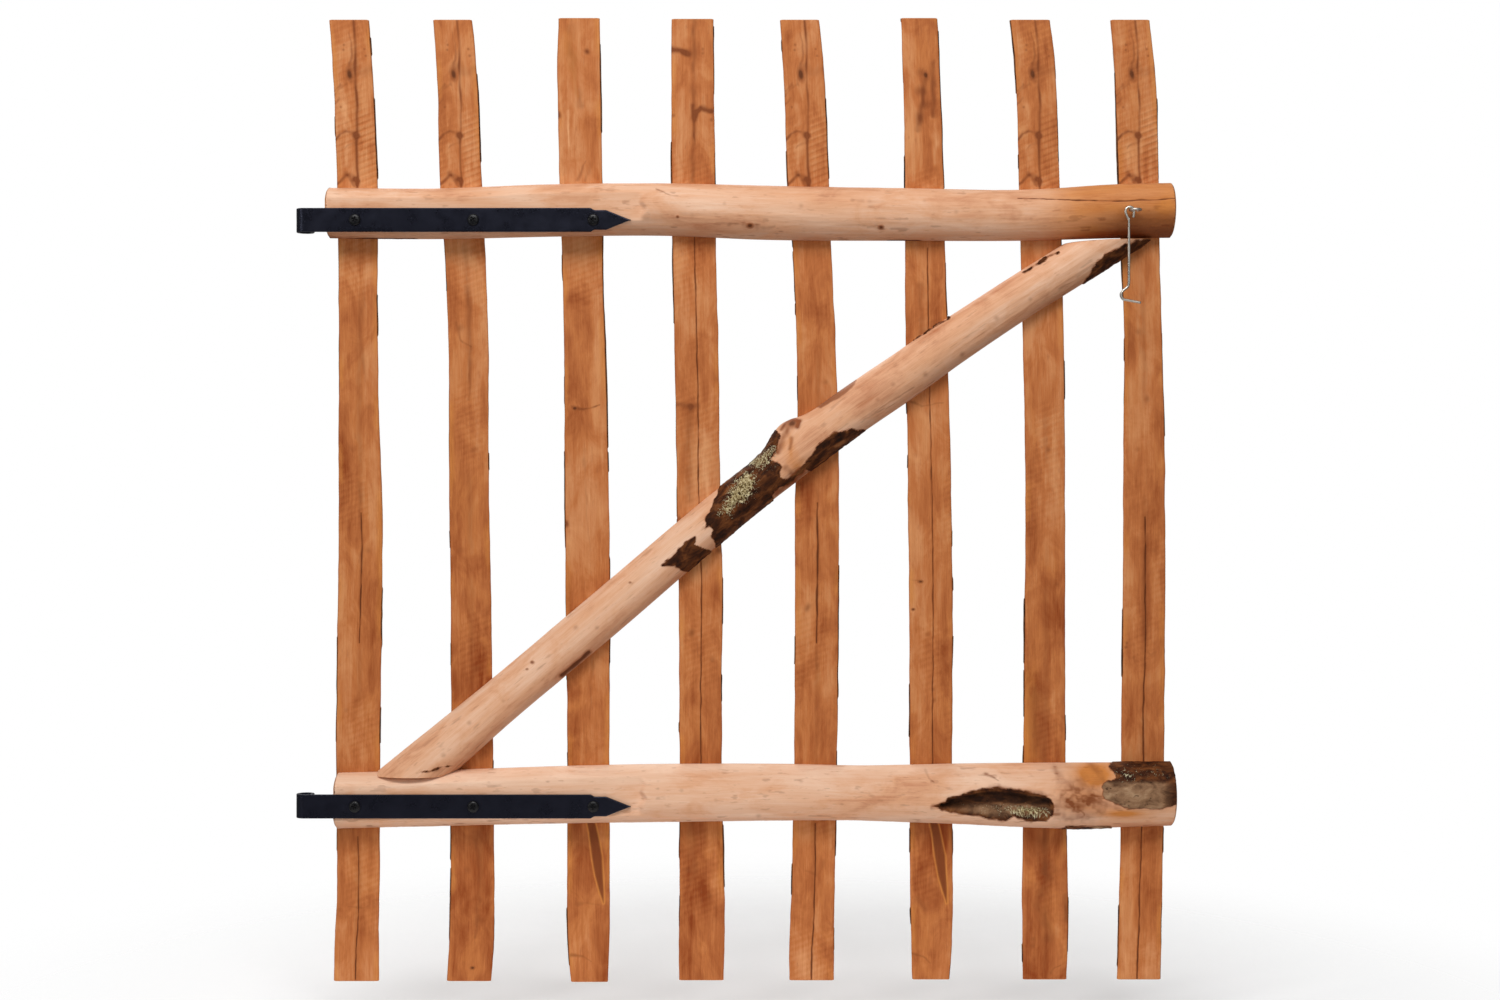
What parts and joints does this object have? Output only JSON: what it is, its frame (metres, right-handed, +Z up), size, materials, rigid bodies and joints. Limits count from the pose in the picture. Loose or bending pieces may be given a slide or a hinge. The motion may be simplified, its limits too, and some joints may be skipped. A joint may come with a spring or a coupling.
{
  "type": "garden gate",
  "caption": "Rustic single-leaf garden gate of half-round wooden slats, rails and a diagonal brace, with strap hinges and a cabin hook latch.",
  "frame": {"origin": "middle of the lower strap hinge's rolled eye, on the gate pin's axis", "axes": "+X from the hinge side to the latch side, +Y from the front (rails, brace, hinges) to the back (round backs of the slats), +Z up"},
  "size_m": [1.0345, 0.0748, 1.146],
  "materials": {
    "slat_wood": "sawn, oiled orange-brown",
    "peeled_pole": "peeled, pale salmon, patches of bark",
    "black_strap": "black powder coat, satin",
    "black_screw": "black, satin",
    "zinc_screw": "zinc plated",
    "zinc_wire": "zinc plated wire"
  },
  "bodies": {
    "gate_leaf": {"slat_1": "slat_wood", "slat_2": "slat_wood", "slat_3": "slat_wood", "slat_4": "slat_wood", "slat_5": "slat_wood", "slat_6": "slat_wood", "slat_7": "slat_wood", "slat_8": "slat_wood", "top_rail": "peeled_pole", "bottom_rail": "peeled_pole", "brace": "peeled_pole", "upper_strap_hinge": "black_strap", "lower_strap_hinge": "black_strap", "upper_strap_screw_1": "black_screw", "upper_strap_screw_2": "black_screw", "upper_strap_screw_3": "black_screw", "lower_strap_screw_1": "black_screw", "lower_strap_screw_2": "black_screw", "lower_strap_screw_3": "black_screw", "top_rail_slat_screws": "zinc_screw", "bottom_rail_slat_screws": "zinc_screw", "brace_slat_screws": "zinc_screw", "screw_eye": "zinc_wire"},
    "cabin_hook": {"latch_hook": "zinc_wire"}
  },
  "joints": [
    {"name": "hook_swing", "type": "hinge", "parent": "gate_leaf", "child": "cabin_hook", "pos_m": [0.9675, -0.0225, 0.6974], "axis": [0, -1, 0], "range_deg": [-110, 75]}
  ]
}
